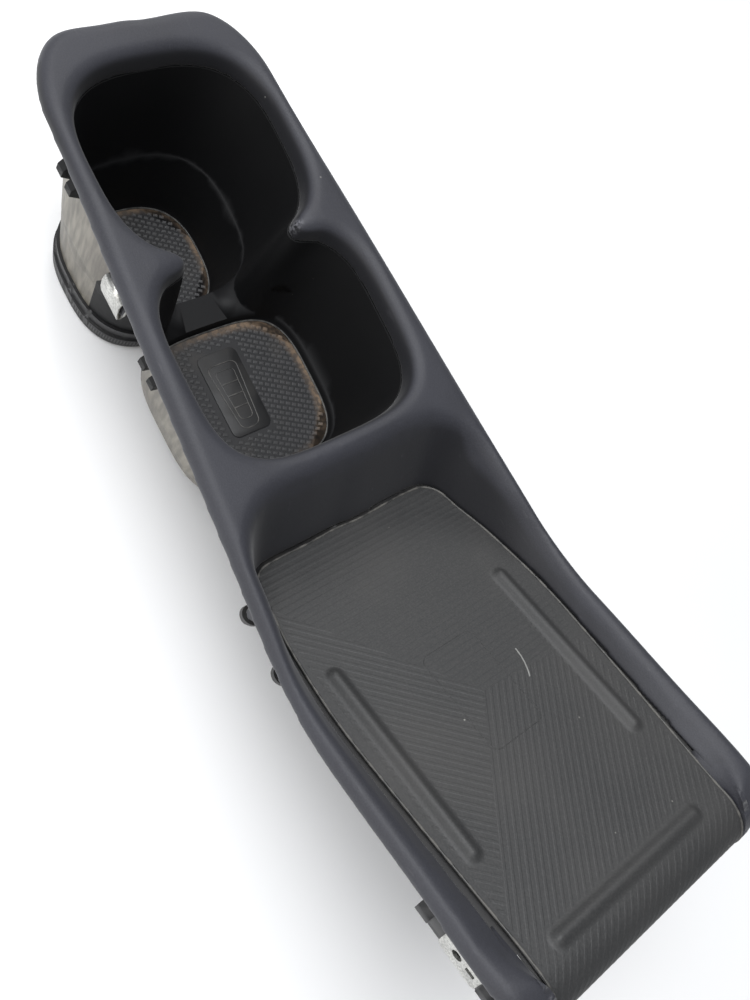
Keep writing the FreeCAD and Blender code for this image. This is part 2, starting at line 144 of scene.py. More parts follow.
def whole(piece):
    """edit mode with everything selected"""
    take(piece)
    bpy.ops.object.mode_set(mode="EDIT")
    bpy.ops.mesh.select_all(action="SELECT")


def done():
    bpy.ops.object.mode_set(mode="OBJECT")


def apply_modifier(piece, kind, **settings):
    take(piece)
    modifier = piece.modifiers.new(kind.lower(), kind)
    for key, value in settings.items():
        setattr(modifier, key, value)
    bpy.ops.object.modifier_apply(modifier=modifier.name)
    return piece


def joined(pieces, name):
    let_go()
    for piece in pieces:
        piece.select_set(True)
    bpy.context.view_layer.objects.active = pieces[0]
    if len(pieces) > 1:
        bpy.ops.object.join()
    return named(name)


def copy_of(piece, place=(0, 0, 0), turn=0.0):
    made = bpy.data.objects.new(piece.name, piece.data.copy())
    bpy.context.scene.collection.objects.link(made)
    made.location = place
    made.rotation_euler = (0, 0, turn)
    return made


def drop(piece):
    bpy.data.objects.remove(piece)


def smooth(piece, angle=30):
    take(piece)
    bpy.ops.object.shade_smooth_by_angle(angle=math.radians(angle))
    return piece


def block(name, size, place=(0, 0, 0), chamfer=0.0):
    """a cuboid with its upright and upper edges eased"""
    let_go()
    bpy.ops.mesh.primitive_cube_add(size=1, location=place, scale=size)
    made = settle(named(name))
    if chamfer:
        apply_modifier(made, "BEVEL", width=chamfer, segments=2)
    return made


def cad_copy(node, name):
    """a merged copy of a CAD node's mesh"""
    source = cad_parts[node]
    made = bpy.data.objects.new(name, source.data.copy())
    made.data.name = name
    bpy.context.scene.collection.objects.link(made)
    made.data.materials.clear()
    whole(made)
    bpy.ops.mesh.remove_doubles(threshold=0.004 * MM)
    done()
    return made


def cut(piece, point, away):
    """keep the side of a plane that lies opposite to the given direction"""
    whole(piece)
    bpy.ops.mesh.bisect(plane_co=point, plane_no=away, use_fill=True, clear_outer=True)
    done()


def tube_along(piece, edges_chosen, radius, name):
    """a round bead along some edges of a piece"""
    work = copy_of(piece)
    edit(work, "EDGE")
    choose(work, work.data.edges, lambda edge: edges_chosen[edge.index])
    bpy.ops.mesh.select_all(action="INVERT")
    bpy.ops.mesh.delete(type="EDGE_FACE")
    bpy.ops.mesh.select_mode(type="VERT")
    bpy.ops.mesh.select_all(action="DESELECT")
    bpy.ops.mesh.select_loose()
    bpy.ops.mesh.delete(type="VERT")
    done()
    take(work)
    bpy.ops.object.convert(target="CURVE")
    work.data.bevel_depth = radius
    work.data.bevel_resolution = 2
    bpy.ops.object.convert(target="MESH")
    return named(name)


def rim_edges(piece, is_top):
    """for each edge, whether it lies between a top face and a side face"""
    mesh = piece.data
    tops = [is_top(face) for face in mesh.polygons]
    around = {}
    for face in mesh.polygons:
        for key in face.edge_keys:
            around.setdefault(key, []).append(face.index)
    found = []
    for edge in mesh.edges:
        faces = around.get(edge.key, [])
        sides = [tops[f] for f in faces]
        found.append(len(faces) == 2 and sides[0] != sides[1])
    return found


# ------------------------------------------------------------------ materials

class Number:
    """a value in a material that plain arithmetic works on"""

    def __init__(self, paint, socket):
        self.paint = paint
        self.socket = socket

    def maths(self, operation, first, second=0.0):
        node = self.paint.node("ShaderNodeMath", {"operation": operation}, {0: first, 1: second})
        return Number(self.paint, node.outputs[0])

    def __add__(self, other):
        return self.maths("ADD", self, other)

    def __radd__(self, other):
        return self.maths("ADD", other, self)

    def __sub__(self, other):
        return self.maths("SUBTRACT", self, other)

    def __rsub__(self, other):
        return self.maths("SUBTRACT", other, self)

    def __mul__(self, other):
        return self.maths("MULTIPLY", self, other)

    def __rmul__(self, other):
        return self.maths("MULTIPLY", other, self)

    def __truediv__(self, other):
        return self.maths("DIVIDE", self, other)

    def __pow__(self, other):
        return self.maths("POWER", self, other)

    def __lt__(self, other):
        return self.maths("LESS_THAN", self, other)

    def __gt__(self, other):
        return self.maths("GREATER_THAN", self, other)

    def __abs__(self):
        return self.maths("ABSOLUTE", self)


SOCKETS = {"sheen_weight": "Sheen Weight", "sheen_roughness": "Sheen Roughness",
           "specular_ior_level": "Specular IOR Level", "metallic": "Metallic"}


class Paint:
    """one procedural material"""

    def __init__(self, name, **fixed):
        self.material = bpy.data.materials.new(name)
        self.material.use_nodes = True
        self.tree = self.material.node_tree
        self.shader = self.tree.nodes["Principled BSDF"]
        for key, value in fixed.items():
            self.shader.inputs[SOCKETS[key]].default_value = value
        self.place = self.node("ShaderNodeTexCoord").outputs["Object"]

    def node(self, kind, settings=None, inputs=None):
        made = self.tree.nodes.new(kind)
        for key, value in (settings or {}).items():
            setattr(made, key, value)
        for key, value in (inputs or {}).items():
            socket = made.inputs[key]
            value = getattr(value, "socket", value)
            if isinstance(value, bpy.types.NodeSocket):
                self.tree.links.new(value, socket)
            else:
                socket.default_value = value
        return made

    def feed(self, name, value):
        self.tree.links.new(getattr(value, "socket", value), self.shader.inputs[name])

    def stretched(self, scale, turn=0.0):
        """the place with each axis scaled, for streaks"""
        return self.node("ShaderNodeMapping", {}, {"Vector": self.place, "Scale": scale,
                                                   "Rotation": (0, 0, turn)}).outputs[0]

    def noise(self, scale, detail=2.0, place=None):
        node = self.node("ShaderNodeTexNoise", {}, {"Vector": place or self.place,
                                                    "Scale": scale, "Detail": detail})
        return Number(self, node.outputs[0])

    def range(self, value, low, high, to_low=0.0, to_high=1.0):
        node = self.node("ShaderNodeMapRange", {"interpolation_type": "SMOOTHSTEP"},
                         {"Value": value, "From Min": low, "From Max": high,
                          "To Min": to_low, "To Max": to_high})
        return Number(self, node.outputs[0])

    def specks(self, scale, size, share):
        """small dots in a share of the cells of a scattered lattice"""
        node = self.node("ShaderNodeTexVoronoi", {}, {"Vector": self.place, "Scale": scale})
        red = self.node("ShaderNodeSeparateColor", {}, {0: node.outputs["Color"]}).outputs[0]
        return (Number(self, node.outputs["Distance"]) < size) * (Number(self, red) < share)

    def axes(self):
        made = self.node("ShaderNodeSeparateXYZ", {}, {0: self.place})
        return [Number(self, made.outputs[i]) for i in range(3)]

    def normal(self):
        facing = self.node("ShaderNodeNewGeometry").outputs["Normal"]
        made = self.node("ShaderNodeSeparateXYZ", {}, {0: facing})
        return [Number(self, made.outputs[i]) for i in range(3)]

    def mix(self, share, first, second):
        node = self.node("ShaderNodeMix", {"data_type": "RGBA"}, {0: share, 6: first, 7: second})
        return node.outputs[2]

    def bump(self, *layers):
        """layers of (height, depth in metres), one on another"""
        normal = None
        for height, depth in layers:
            inputs = {"Height": height, "Distance": depth, "Strength": 1.0}
            if normal:
                inputs["Normal"] = normal
            normal = self.node("ShaderNodeBump", {}, inputs).outputs[0]
        self.feed("Normal", normal)


def grey(r, g, b):
    return (r, g, b, 1.0)


def soft_touch():
    """matte fine-grained charcoal with a cool tint, a few specks, one worn corner and painted shade
    on the inner walls of the wells and tray
    """
    paint = Paint("soft_touch_charcoal", sheen_weight=0.12, sheen_roughness=0.45)
    blotch = paint.noise(24, 3)
    grain = paint.noise(1900, 2)
    colour = paint.mix(paint.range(blotch, 0.35, 0.68), grey(0.0175, 0.018, 0.0240),
                       grey(0.0240, 0.0248, 0.0325))
    colour = paint.mix(paint.range(grain, 0.35, 0.7) * 0.35, colour, grey(0.040, 0.0415, 0.052))
    x, y, z = paint.axes()
    away = ((x + 0.094) ** 2.0 + (y - 0.025) ** 2.0) ** 0.5
    worn = paint.range(away, 0.0035, 0.0, 0, 1) * paint.range(paint.noise(900, 3), 0.42, 0.6)
    dust = paint.specks(260, 0.10, 0.05) * paint.range(paint.noise(15), 0.48, 0.62)
    nx, ny, nz = paint.normal()
    # painted shade: the steep inner walls of the wells and tray are darkened towards near black,
    # where shade falls in the recess
    reach = paint.range(x, -0.02, 0.06, 0.0480, 0.0580)
    inside = paint.range(reach - abs(y), -0.001, 0.001) * (x < 0.155) * (x > -0.174)
    painted_wall_shade = inside * paint.range(nz, 0.80, 0.35, 0, 1)
    colour = paint.mix(painted_wall_shade * 0.9, colour, grey(0.0050, 0.0052, 0.0075))
    scuffs = paint.range(paint.noise(1.0, 4, paint.stretched((60, 520, 200), 0.4)), 0.66, 0.78)
    colour = paint.mix(scuffs * 0.12, colour, grey(0.10, 0.10, 0.11))
    colour = paint.mix(worn * 0.4, colour, grey(0.30, 0.30, 0.33))
    colour = paint.mix(dust * 0.55, colour, grey(0.33, 0.32, 0.30))
    paint.feed("Base Color", colour)
    paint.feed("Roughness", 0.52 + 0.14 * blotch - 0.10 * scuffs)
    paint.bump((grain, 0.05 * MM), (paint.noise(620, 3), 0.03 * MM))
    return paint.material


def bin_plastic():
    """raw moulded plastic in lit and shaded copies: painted shade makes it near black inside the
    wells, and a painted reflection of the warm floor with real streaks and scratches on it gives it
    a brownish sheen outside
    """
    paint = Paint("raw_bin_plastic", specular_ior_level=0.35)
    x, y, z = paint.axes()
    nx, ny, nz = paint.normal()
    middle = (x < -0.092) * -0.0751 + -0.0512
    waist = (abs(x + 0.0923) < 0.021) * (abs(y) < 0.036)
    tooth = abs(y) > (x < -0.092) * -0.0042 + 0.0487
    outside = paint.range((x - middle) * nx + y * ny, -0.001, 0.004)
    outside = outside * (1 - waist) * (1 - tooth) * (nz < 0.6)
    streaks = paint.noise(1.0, 5, paint.stretched((420, 420, 26)))
    cloud = paint.noise(26, 3)
    # painted reflection: worn holds the outer colour, a beige painted reflection of the floor with
    # real ejection streaks and scratches on it
    worn = paint.mix(paint.range(streaks, 0.32, 0.72), grey(0.115, 0.106, 0.088),
                     grey(0.225, 0.208, 0.172))
    worn = paint.mix(paint.range(cloud, 0.4, 0.72) * 0.55, worn, grey(0.062, 0.052, 0.047))
    scratch = paint.range(paint.noise(1.0, 2, paint.stretched((1500, 1500, 18))), 0.70, 0.76)
    worn = paint.mix(scratch * 0.5, worn, grey(0.25, 0.235, 0.21))
    # painted shade: the inside of the wells is the same plastic painted near black, with real dust
    # on it
    inner = paint.mix(cloud, grey(0.0022, 0.0023, 0.0028), grey(0.0045, 0.0046, 0.0052))
    dust = paint.specks(330, 0.09, 0.05) * paint.range(paint.noise(22), 0.5, 0.64)
    inner = paint.mix(dust * 0.25, inner, grey(0.2, 0.19, 0.18))
    paint.feed("Base Color", paint.mix(outside, inner, worn))
    paint.feed("Roughness", 0.60 - 0.22 * outside + 0.10 * cloud + 0.1 * scratch)
    paint.bump((cloud, 0.25 * MM), (paint.noise(900, 2), 0.015 * MM), (streaks, 0.03 * MM))
    return paint.material


def pan_plastic():
    """raw black plastic with flow marks"""
    paint = Paint("raw_pan_plastic")
    flow = paint.noise(1.0, 4, paint.stretched((16, 90, 60), 0.3))
    cloud = paint.noise(30, 3)
    colour = paint.mix(paint.range(flow, 0.3, 0.7), grey(0.016, 0.016, 0.017),
                       grey(0.030, 0.029, 0.028))
    scratch = paint.range(paint.noise(1.0, 3, paint.stretched((40, 1200, 1200), 0.7)), 0.68, 0.75)
    paint.feed("Base Color", paint.mix(scratch * 0.3, colour, grey(0.10, 0.10, 0.095)))
    paint.feed("Roughness", 0.42 + 0.2 * cloud)
    paint.bump((cloud, 0.2 * MM), (paint.noise(1100, 2), 0.02 * MM))
    return paint.material


def black_plastic():
    """plain black plastic with rubbed edges"""
    paint = Paint("black_trim_plastic")
    cloud = paint.noise(70, 4)
    rub = paint.range(paint.noise(1.0, 4, paint.stretched((300, 300, 60))), 0.58, 0.74)
    colour = paint.mix(cloud, grey(0.008, 0.008, 0.009), grey(0.019, 0.019, 0.020))
    paint.feed("Base Color", paint.mix(rub * 0.4, colour, grey(0.055, 0.053, 0.050)))
    paint.feed("Roughness", 0.34 + 0.22 * cloud)
    paint.bump((paint.noise(1300, 2), 0.02 * MM), (rub, 0.01 * MM))
    return paint.material


def cup_rubber(name, centre, half, shade):
    """dark rubber with brown dust caught along its far and right border"""
    paint = Paint(name)
    x, y, z = paint.axes()
    across, along = (y - centre[1]) / half[1], (x - centre[0]) / half[0]
    reach = (abs(along) ** 3.0 + abs(across) ** 3.0) ** 0.333
    side = paint.range(across * 0.75 - along * 0.35, -0.1, 0.6)
    crumbs = 0.35 + 0.65 * paint.range(paint.noise(420, 4), 0.36, 0.62)
    dirt = paint.range(reach, 0.86, 0.985) * (0.22 + 0.78 * side) * crumbs
    film = paint.range(paint.noise(60, 4), 0.5, 0.75) * paint.range(reach, 0.3, 1.0)
    cloud = paint.noise(160, 3)
    colour = paint.mix(cloud, grey(*shade), grey(*[1.6 * c for c in shade]))
    colour = paint.mix(film * 0.35, colour, grey(0.085, 0.074, 0.062))
    colour = paint.mix(dirt * 0.7, colour, grey(0.255, 0.175, 0.110))
    paint.feed("Base Color", colour)
    paint.feed("Roughness", 0.42 + 0.2 * cloud + 0.25 * dirt)
    paint.bump((paint.noise(1500, 3), 0.035 * MM), (crumbs * dirt, 0.12 * MM))
    return paint.material


def pad_rubber():
    """smoother and darker rubber of the key pad"""
    paint = Paint("smooth_pad_rubber")
    cloud = paint.noise(220, 4)
    film = paint.range(paint.noise(70, 3), 0.45, 0.75)
    colour = paint.mix(cloud, grey(0.006, 0.006, 0.0065), grey(0.0105, 0.0105, 0.011))
    paint.feed("Base Color", paint.mix(film * 0.3, colour, grey(0.045, 0.042, 0.038)))
    paint.feed("Roughness", 0.5 + 0.2 * film)
    paint.bump((paint.noise(1700, 2), 0.02 * MM))
    return paint.material


def tray_rubber():
    """dark grey rubber with dust, faint handling marks, one light scratch and a painted reflection
    of the floor on the face that drops over the lip
    """
    paint = Paint("tray_mat_rubber")
    cloud = paint.noise(18, 4)
    grain = paint.noise(1500, 3)
    colour = paint.mix(paint.range(cloud, 0.35, 0.7), grey(0.0235, 0.024, 0.0245),
                       grey(0.0335, 0.033, 0.0325))
    colour = paint.mix(paint.range(grain, 0.4, 0.7) * 0.4, colour, grey(0.052, 0.051, 0.050))
    dust = paint.specks(240, 0.085, 0.06) * paint.range(paint.noise(19), 0.42, 0.6)
    colour = paint.mix(dust * 0.6, colour, grey(0.36, 0.35, 0.32))
    x, y, z = paint.axes()
    nx, ny, nz = paint.normal()
    bow = y - 0.0215 + (x - 0.092) * 0.35 + (x - 0.092) ** 2.0 * 30.0
    scratch = (abs(bow) < 0.00028) * (abs(x - 0.0915) < 0.0052)
    colour = paint.mix(scratch * 0.45, colour, grey(0.40, 0.40, 0.38))
    # painted reflection: the face that drops over the lip towards the near end is painted beige as
    # the warm floor's light on it
    painted_floor_reflection = paint.range(nx, 0.72, 0.98)
    colour = paint.mix(painted_floor_reflection * 0.75, colour, grey(0.20, 0.178, 0.148))
    paint.feed("Base Color", colour)
    paint.feed("Roughness", 0.50 + 0.16 * cloud - 0.08 * painted_floor_reflection)
    paint.bump((grain, 0.04 * MM), (paint.noise(500, 2), 0.02 * MM))
    return paint.material


def bead_rubber():
    """rubbed lighter edge of the mats"""
    paint = Paint("rubbed_rubber_edge")
    wear = paint.range(paint.noise(300, 4), 0.35, 0.68)
    colour = paint.mix(wear, grey(0.032, 0.032, 0.031), grey(0.100, 0.096, 0.088))
    paint.feed("Base Color", colour)
    paint.feed("Roughness", 0.38 + 0.25 * wear)
    paint.bump((paint.noise(1400, 3), 0.03 * MM))
    return paint.material


def spring_steel(name, base, turn):
    """bright or dark plated steel, drawn in one direction"""
    paint = Paint(name, metallic=1.0)
    drawn = paint.noise(1.0, 4, paint.stretched((1400, 90, 1400), turn))
    spots = paint.range(paint.noise(260, 4), 0.55, 0.75)
    light = grey(*base)
    dark = grey(*[0.6 * c for c in base])
    colour = paint.mix(paint.range(drawn, 0.3, 0.7), light, dark)
    paint.feed("Base Color", paint.mix(spots * 0.5, colour, grey(*[0.35 * c for c in base])))
    paint.feed("Roughness", 0.30 + 0.22 * drawn + 0.15 * spots)
    paint.bump((drawn, 0.008 * MM), (paint.noise(800, 2), 0.006 * MM))
    return paint.material


def white_floor():
    paint = Paint("white_paper")
    tone = paint.noise(3, 2)
    paint.feed("Base Color", paint.mix(tone, grey(0.86, 0.86, 0.86), grey(0.90, 0.90, 0.90)))
    paint.feed("Roughness", 0.85 + 0.05 * tone)
    return paint.material


# ------------------------------------------------------------------ shells and small parts

def coat(piece, material):
    piece.data.materials.clear()
    piece.data.materials.append(material)
    return piece


def moulded(piece):
    """even skin whose edges are softened as a moulding's are"""
    apply_modifier(piece, "REMESH", mode="VOXEL", voxel_size=VOXEL)
    apply_modifier(piece, "SMOOTH", factor=0.5, iterations=SKIN_SMOOTHING)
    return apply_modifier(piece, "DECIMATE", ratio=min(1.0, SKIN_FACES / len(piece.data.polygons)))


def channel_edge(node, side):
    """the thin sheet beside the lip channel, which the even skin is too coarse for"""
    edge = cad_copy(node, "channel_edge")
    for x, way in CHANNEL_REACH:
        cut(edge, (x, 0, 0), (way, 0, 0))
    cut(edge, (0, side * CHANNEL_WALL[0], 0), (0, -side, 0))
    cut(edge, (0, side * CHANNEL_WALL[1], 0), (0, side, 0))
    return edge


def shell(node, material, angle=32, soft=False):
    """the CAD shape of a node, merged and shaded smoothly, in its own finish"""
    piece = cad_copy(node, node + "_skin")
    if soft:
        moulded(piece)
        piece = joined([piece] + [channel_edge(node, side) for side in (-1, 1)], piece.name)
    smooth(piece, angle)
    coat(piece, material)
    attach(piece, "insert")
    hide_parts(node)
    return piece


# ------------------------------------------------------------------ cup mats

def wedge_dash():
    """one raised scale, high along one long edge"""
    made = block("dash", DASH_SIZE, (0, 0, DASH_SIZE[2] / 2))
    edit(made)
    choose(made, made.data.vertices, lambda v: v.co.z > DASH_SIZE[2] / 2)
    bpy.ops.transform.resize(value=(0.72, 0.62, 1))
    done()
    edit(made)
    choose(made, made.data.vertices, lambda v: v.co.z > DASH_SIZE[2] / 2 and v.co.y < 0)
    bpy.ops.transform.translate(value=(0, 0, -0.26 * MM))
    done()
    return apply_modifier(made, "BEVEL", width=0.09 * MM, segments=1)


def dash_field(name, node, power, keep_clear):
    """scales on a staggered lattice, inside the border of a cup mat"""
    low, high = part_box(node)
    centre = (low + high) / 2
    half = (high - low) / 2
    dash = wedge_dash()
    along = Vector((math.cos(DASH_TURN), math.sin(DASH_TURN)))
    across = Vector((-along.y, along.x))
    count = int(max(half.x, half.y) * 2 / DASH_ROW)
    made = []
    for row in range(-count, count + 1):
        shift = DASH_PITCH / 2 if row % 2 else 0.0
        for step in range(-count, count + 1):
            spot = along * (step * DASH_PITCH + shift) + across * (row * DASH_ROW)
            reach_x = abs(spot.x) / (half.x - MAT_BORDER)
            reach_y = abs(spot.y) / (half.y - MAT_BORDER)
            x, y = centre.x + spot.x, centre.y + spot.y
            if reach_x ** power + reach_y ** power > 1 or keep_clear(x, y):
                continue
            made.append(copy_of(dash, (x, y, high.z - 0.03 * MM), DASH_TURN))
    drop(dash)
    return settle(joined(made, name))


def on_pad(x, y):
    margin = 1.3 * MM
    return (abs(x - PAD_CENTRE[0]) < PAD_SIZE[0] / 2 + margin
            and abs(y - PAD_CENTRE[1]) < PAD_SIZE[1] / 2 + margin)


def nowhere(x, y):
    return False


def cup_mat(node, body, power, keep_clear, material, scale_material, bead):
    """base sheet from the CAD shape, with scales and a border bead"""
    low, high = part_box(node)
    base = smooth(cad_copy(node, node + "_sheet"), 35)
    rim = rim_edges(base, lambda face: face.normal.z > 0.9)
    border = coat(tube_along(base, rim, 0.42 * MM, node + "_border"), bead)
    smooth(border, 60)
    coat(base, material)
    scales = coat(dash_field(node + "_scales", node, power, keep_clear), scale_material)
    for piece in (base, scales, border):
        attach(piece, body)
    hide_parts(node)
    return high.z


def rounded_plate(name, size, centre, corner, top, thick):
    """flat plate with round corners and an eased upper edge"""
    let_go()
    bpy.ops.mesh.primitive_plane_add(size=1, location=(centre[0], centre[1], top - thick))
    made = named(name)
    made.scale = (size[0], size[1], 1)
    settle(made)
    whole(made)
    bpy.ops.mesh.bevel(offset=corner, segments=6, affect="VERTICES")
    bpy.ops.mesh.select_mode(type="FACE")
    bpy.ops.mesh.select_all(action="SELECT")
    bpy.ops.mesh.extrude_region_move(TRANSFORM_OT_translate={"value": (0, 0, thick)})
    done()
    whole(made)
    bpy.ops.mesh.normals_make_consistent(inside=False)
    done()
    return apply_modifier(made, "BEVEL", width=thick * 0.35, segments=2, limit_method="ANGLE")


def ring_of(name, size, centre, corner, height, radius, narrow=1.0):
    """thin raised line round a rounded shape that may narrow towards the tray"""
    let_go()
    bpy.ops.mesh.primitive_plane_add(size=1, location=(centre[0], centre[1], height))
    made = named(name)
    made.scale = (size[0], size[1], 1)
    settle(made)
    edit(made)
    choose(made, made.data.vertices, lambda v: v.co.x > centre[0])
    bpy.ops.transform.resize(value=(1, narrow, 1))
    done()
    whole(made)
    bpy.ops.mesh.bevel(offset=corner, segments=5, affect="VERTICES")
    done()
    line = tube_along(made, [True] * len(made.data.edges), radius, name)
    drop(made)
    return line


def key_pad(top, material, line_material):
    """smooth pad with the plain outline of a key fob"""
    pad_top = top + 0.45 * MM
    pad = rounded_plate("key_pad", PAD_SIZE, PAD_CENTRE, 3.2 * MM, pad_top, 0.8 * MM)
    coat(smooth(pad), material)
    line = 0.22 * MM
    parts = [ring_of("fob_outline", (29 * MM, 14 * MM), (PAD_CENTRE[0] + 1.5 * MM, PAD_CENTRE[1]),
                     2.9 * MM, pad_top, line, 0.62)]
    parts.append(ring_of("fob_inner", (22 * MM, 9 * MM), (PAD_CENTRE[0] + 1 * MM, PAD_CENTRE[1]),
                         1.8 * MM, pad_top, line * 0.8, 0.66))
    for share in (-0.24, 0.0, 0.24):
        x = PAD_CENTRE[0] + 1 * MM + share * 22 * MM
        width = (9 - 5 * share) * MM * 0.84
        parts.append(block("fob_line", (0.45 * MM, width, 0.4 * MM),
                           (x, PAD_CENTRE[1], pad_top), 0.1 * MM))
    marks = joined([settle(part) for part in parts], "key_fob_outline")
    coat(smooth(marks), line_material)
    for piece in (pad, marks):
        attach(piece, "shallow_cup_mat_body")


# ------------------------------------------------------------------ tray mat

class TrayPath:
    """the mat's upper surface from its far edge down the slope, over the lip and down"""

    def __init__(self):
        low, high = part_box("tray_mat")
        self.lip = Vector((high.x - LIP_RADIUS, 0, high.z - LIP_RADIUS))
        self.lip_start = self.lip + LIP_RADIUS * Vector((-math.sin(TRAY_ANGLE), 0,
                                                         math.cos(TRAY_ANGLE)))
        self.run = (self.lip_start.x - low.x) / math.cos(TRAY_ANGLE)
        self.start = self.lip_start - self.run * Vector((math.cos(TRAY_ANGLE), 0,
                                                         math.sin(TRAY_ANGLE)))
        self.turn = math.pi / 2 + TRAY_ANGLE
        self.arc = LIP_RADIUS * self.turn
        self.fall = self.lip.z - self.end_height()
        self.length = self.run + self.arc + self.fall

    def end_height(self):
        """height of the mat's edge below the lip"""
        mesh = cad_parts["tray_mat"].data
        return min(v.co.z for v in mesh.vertices if v.co.x > self.lip.x)

    def curve(self):
        """the path as a curve that flat pieces are bent along"""
        points = [self.start.lerp(self.lip_start, i / 40) for i in range(40)]
        steps = 72
        for i in range(steps + 1):
            angle = math.pi / 2 + TRAY_ANGLE - self.turn * i / steps
            points.append(self.lip + LIP_RADIUS * Vector((math.cos(angle), 0, math.sin(angle))))
        foot = points[-1]
        points += [foot - Vector((0, 0, self.fall * i / 8)) for i in range(1, 9)]
        data = bpy.data.curves.new("tray_path", "CURVE")
        data.dimensions = "3D"
        data.twist_mode = "MINIMUM"
        data.use_deform_bounds = False
        line = data.splines.new("POLY")
        line.points.add(len(points) - 1)
        for point, place in zip(line.points, points):
            point.co = (*place, 1)
        made = bpy.data.objects.new("tray_path", data)
        bpy.context.scene.collection.objects.link(made)
        return made


def stripe_sector(first, last, turn):
    """parallel low ridges in one sector of the flat mat"""
    length, count = 0.5, 150
    ridge = block("ridge", (length, STRIPE_WIDTH, 2 * STRIPE_HEIGHT), (0, 0, 0))
    edit(ridge)
    choose(ridge, ridge.data.vertices, lambda v: v.co.z > 0)
    bpy.ops.transform.resize(value=(1, 0.35, 1))
    done()
    apply_modifier(ridge, "ARRAY", count=count, use_relative_offset=False,
                   use_constant_offset=True, constant_offset_displace=(0, STRIPE_PITCH, 0))
    ridge.location = (0, -count / 2 * STRIPE_PITCH, 0)
    settle(ridge)
    ridge.rotation_euler = (0, 0, turn)
    ridge.location = (TRAY_HEART, 0, 0)
    settle(ridge)
    heart = (TRAY_HEART, 0, 0)
    cut(ridge, heart, (math.sin(first), -math.cos(first), 0))
    cut(ridge, heart, (-math.sin(last), math.cos(last), 0))
    return ridge


def trim_to_mat(piece, path):
    """cut ridges back to the mat's outline, less its border"""
    border = STRIPE_MARGIN
    outline = MAT_OUTLINE
    for side in (-1, 1):
        for (s, y), (t, w) in zip(outline, outline[1:]):
            along = Vector(((t - s) * MM, side * (w - y) * MM, 0))
            out = Vector((-along.y, along.x, 0)) * side
            cut(piece, (s * MM, side * (y * MM - border), 0), out.normalized())
        cut(piece, (2.6 * MM, side * 43.0 * MM, 0), Vector((-1, side, 0)).normalized())
    cut(piece, (border, 0, 0), (-1, 0, 0))
    cut(piece, (path.length - border, 0, 0), (1, 0, 0))


def slice_for_lip(piece, path):
    """cross cuts so that the ridges can bend over the lip"""
    steps = 22
    for i in range(steps + 1):
        whole(piece)
        bpy.ops.mesh.bisect(plane_co=(path.run + path.arc * i / steps, 0, 0), plane_no=(1, 0, 0))
        done()


def rib(name, centre, length, width, lengthwise):
    """raised rib with drawn-out ends, on a thin patch of the flat mat"""
    size = (length + 12 * MM, width + 5 * MM)
    if not lengthwise:
        size = size[::-1]
    let_go()
    cells = [max(8, int(s / (0.8 * MM))) for s in size]
    bpy.ops.mesh.primitive_grid_add(x_subdivisions=cells[0], y_subdivisions=cells[1], size=1,
                                    location=(centre[0], centre[1], 0))
    made = named(name)
    made.scale = (size[0], size[1], 1)
    settle(made)
    longest = 0 if lengthwise else 1
    cross = 1 - longest
    reach = length / 2 - width

    def on_crest(v):
        return (abs(v.co[cross] - centre[cross]) < 0.5 * MM
                and abs(v.co[longest] - centre[longest]) < reach)
    edit(made)
    choose(made, made.data.vertices, on_crest)
    bpy.ops.transform.translate(value=(0, 0, RIB_HEIGHT), use_proportional_edit=True,
                                proportional_edit_falloff="SMOOTH",
                                proportional_size=width * 0.62)
    done()
    whole(made)
    bpy.ops.mesh.select_mode(type="FACE")
    bpy.ops.mesh.select_all(action="SELECT")
    bpy.ops.mesh.extrude_region_move(TRANSFORM_OT_translate={"value": (0, 0, 0.03 * MM)})
    done()
    whole(made)
    bpy.ops.mesh.normals_make_consistent(inside=False)
    done()
    return smooth(made, 50)


def wrapped(piece, path_curve):
    """bend a flat piece along the mat's path"""
    return apply_modifier(piece, "CURVE", object=path_curve, deform_axis="POS_X")


def tray_mat(material, bead):
    path = TrayPath()
    curve = path.curve()
    base = smooth(cad_copy("tray_mat", "tray_mat_sheet"), 35)
    lip = path.lip

    def is_top(face):
        middle = face.center
        if middle.x < path.lip_start.x + MM:
            return face.normal.z > 0.5
        if middle.z > lip.z:
            return face.normal.dot((middle - lip - Vector((0, middle.y, 0))).normalized()) > 0.7
        return face.normal.x > 0.7
    apply_modifier(base, "WEIGHTED_NORMAL", keep_sharp=True, weight=100)
    border = tube_along(base, rim_edges(base, is_top), 0.5 * MM, "tray_mat_border")
    coat(smooth(border, 60), bead)
    coat(base, material)

    sectors = []
    for i, turn in enumerate(STRIPE_TURNS):
        first = SECTOR_EDGES[i]
        last = SECTOR_EDGES[(i + 1) % 3] + (2 * math.pi if i == 2 else 0)
        sectors.append(stripe_sector(first, last, turn))
    ridges = joined(sectors, "tray_mat_stripes")
    trim_to_mat(ridges, path)
    slice_for_lip(ridges, path)
    wrapped(ridges, curve)
    coat(ridges, material)

    ribs = [rib("rib", (RIB_MIDDLE, side * RIB_OFFSET + RIB_SHIFT), RIB_LENGTH, RIB_WIDTH, True)
            for side in (-1, 1)]
    ribs.append(rib("rib", CROSS_RIB_MIDDLE, CROSS_RIB_LENGTH, RIB_WIDTH, False))
    ribs = joined(ribs, "tray_mat_ribs")
    wrapped(ribs, curve)
    coat(smooth(ribs, 50), material)

    outline = ring_of("phone_outline", (42 * MM, 25 * MM), (TRAY_HEART - 1 * MM, 0), 3.2 * MM,
                      0.02 * MM, 0.15 * MM)
    settle(outline)
    wrapped(outline, curve)
    coat(smooth(outline, 60), material)
    for piece in (base, border, ridges, ribs, outline):
        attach(piece, "tray_mat_body")
    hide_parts("tray_mat")
    drop(curve)


# ------------------------------------------------------------------ stage

